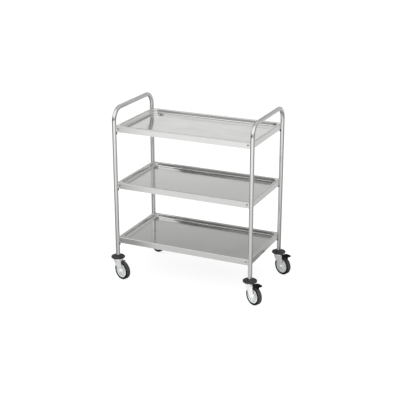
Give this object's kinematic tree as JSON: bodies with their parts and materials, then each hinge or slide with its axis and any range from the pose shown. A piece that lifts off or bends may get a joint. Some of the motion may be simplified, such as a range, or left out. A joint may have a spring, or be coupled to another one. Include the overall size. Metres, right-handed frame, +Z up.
{
  "type": "serving trolley",
  "caption": "Wheeled serving trolley: bent-tube end frames with push handles carry pressed metal trays on swivel castors, some with foot brakes, for moving food and tableware.",
  "frame": {"origin": "on the floor, midway between the four posts", "axes": "+X along the trays towards the braked castors, +Y from the front to the back, +Z up"},
  "size_m": [0.8769, 0.5063, 0.94],
  "materials": {
    "stainless_tube": "satin",
    "stainless_sheet": "satin",
    "fastener_steel": "bright",
    "bearing_steel": "bright",
    "castor_zinc": "zinc plated",
    "bumper_rubber": "matt",
    "tyre": "matt",
    "wheel_plastic": "satin",
    "pedal_plastic": "satin",
    "rest_plastic": "matt",
    "insert_plastic": "matt"
  },
  "bodies": {
    "frame": {"end_frame_left": "stainless_tube", "end_frame_right": "stainless_tube", "shelf_top": "stainless_sheet", "shelf_middle": "stainless_sheet", "shelf_bottom": "stainless_sheet", "corner_brackets": "stainless_sheet", "shelf_bolts": "fastener_steel", "shelf_nuts": "fastener_steel", "shelf_rests": "rest_plastic", "bumper_left_front": "bumper_rubber", "tube_insert_left_front": "insert_plastic", "swivel_stem_left_front": "bearing_steel", "top_race_left_front": "bearing_steel", "bumper_right_front": "bumper_rubber", "tube_insert_right_front": "insert_plastic", "swivel_stem_right_front": "bearing_steel", "top_race_right_front": "bearing_steel", "bumper_left_back": "bumper_rubber", "tube_insert_left_back": "insert_plastic", "swivel_stem_left_back": "bearing_steel", "top_race_left_back": "bearing_steel", "bumper_right_back": "bumper_rubber", "tube_insert_right_back": "insert_plastic", "swivel_stem_right_back": "bearing_steel", "top_race_right_back": "bearing_steel"},
    "castor_left_front": {"fork_left_front": "castor_zinc", "swivel_balls_left_front": "bearing_steel", "axle_bolt_left_front": "fastener_steel", "axle_sleeve_left_front": "bearing_steel"},
    "wheel_left_front": {"tyre_left_front": "tyre", "wheel_centre_left_front": "wheel_plastic", "thread_guards_left_front": "wheel_plastic"},
    "castor_right_front": {"fork_right_front": "castor_zinc", "swivel_balls_right_front": "bearing_steel", "axle_bolt_right_front": "fastener_steel", "axle_sleeve_right_front": "bearing_steel", "brake_pin_right_front": "fastener_steel"},
    "wheel_right_front": {"tyre_right_front": "tyre", "wheel_centre_right_front": "wheel_plastic", "thread_guards_right_front": "wheel_plastic"},
    "pedal_right_front": {"brake_pedal_right_front": "pedal_plastic", "brake_shoe_right_front": "pedal_plastic"},
    "castor_left_back": {"fork_left_back": "castor_zinc", "swivel_balls_left_back": "bearing_steel", "axle_bolt_left_back": "fastener_steel", "axle_sleeve_left_back": "bearing_steel"},
    "wheel_left_back": {"tyre_left_back": "tyre", "wheel_centre_left_back": "wheel_plastic", "thread_guards_left_back": "wheel_plastic"},
    "castor_right_back": {"fork_right_back": "castor_zinc", "swivel_balls_right_back": "bearing_steel", "axle_bolt_right_back": "fastener_steel", "axle_sleeve_right_back": "bearing_steel", "brake_pin_right_back": "fastener_steel"},
    "wheel_right_back": {"tyre_right_back": "tyre", "wheel_centre_right_back": "wheel_plastic", "thread_guards_right_back": "wheel_plastic"},
    "pedal_right_back": {"brake_pedal_right_back": "pedal_plastic", "brake_shoe_right_back": "pedal_plastic"}
  },
  "joints": [
    {"name": "swivel_left_front", "type": "hinge", "parent": "frame", "child": "castor_left_front", "pos_m": [-0.38, -0.21, 0.1], "axis": [0, 0, 1], "continuous": true},
    {"name": "roll_left_front", "type": "hinge", "parent": "castor_left_front", "child": "wheel_left_front", "pos_m": [-0.34805, -0.22163, 0.05], "axis": [0.342, 0.9397, 0], "continuous": true},
    {"name": "swivel_right_front", "type": "hinge", "parent": "frame", "child": "castor_right_front", "pos_m": [0.38, -0.21, 0.1], "axis": [0, 0, 1], "continuous": true},
    {"name": "roll_right_front", "type": "hinge", "parent": "castor_right_front", "child": "wheel_right_front", "pos_m": [0.41002, -0.22596, 0.05], "axis": [0.4695, 0.8829, 0], "continuous": true},
    {"name": "brake_right_front", "type": "hinge", "parent": "castor_right_front", "child": "pedal_right_front", "pos_m": [0.40914, -0.22549, 0.1065], "axis": [0.4695, 0.8829, 0], "range_deg": [0, 8]},
    {"name": "swivel_left_back", "type": "hinge", "parent": "frame", "child": "castor_left_back", "pos_m": [-0.38, 0.21, 0.1], "axis": [0, 0, 1], "continuous": true},
    {"name": "roll_left_back", "type": "hinge", "parent": "castor_left_back", "child": "wheel_left_back", "pos_m": [-0.34848, 0.19726, 0.05], "axis": [0.3746, 0.9272, 0], "continuous": true},
    {"name": "swivel_right_back", "type": "hinge", "parent": "frame", "child": "castor_right_back", "pos_m": [0.38, 0.21, 0.1], "axis": [0, 0, 1], "continuous": true},
    {"name": "roll_right_back", "type": "hinge", "parent": "castor_right_back", "child": "wheel_right_back", "pos_m": [0.41081, 0.19563, 0.05], "axis": [0.4226, 0.9063, 0], "continuous": true},
    {"name": "brake_right_back", "type": "hinge", "parent": "castor_right_back", "child": "pedal_right_back", "pos_m": [0.40991, 0.19605, 0.1065], "axis": [0.4226, 0.9063, 0], "range_deg": [0, 8]}
  ]
}
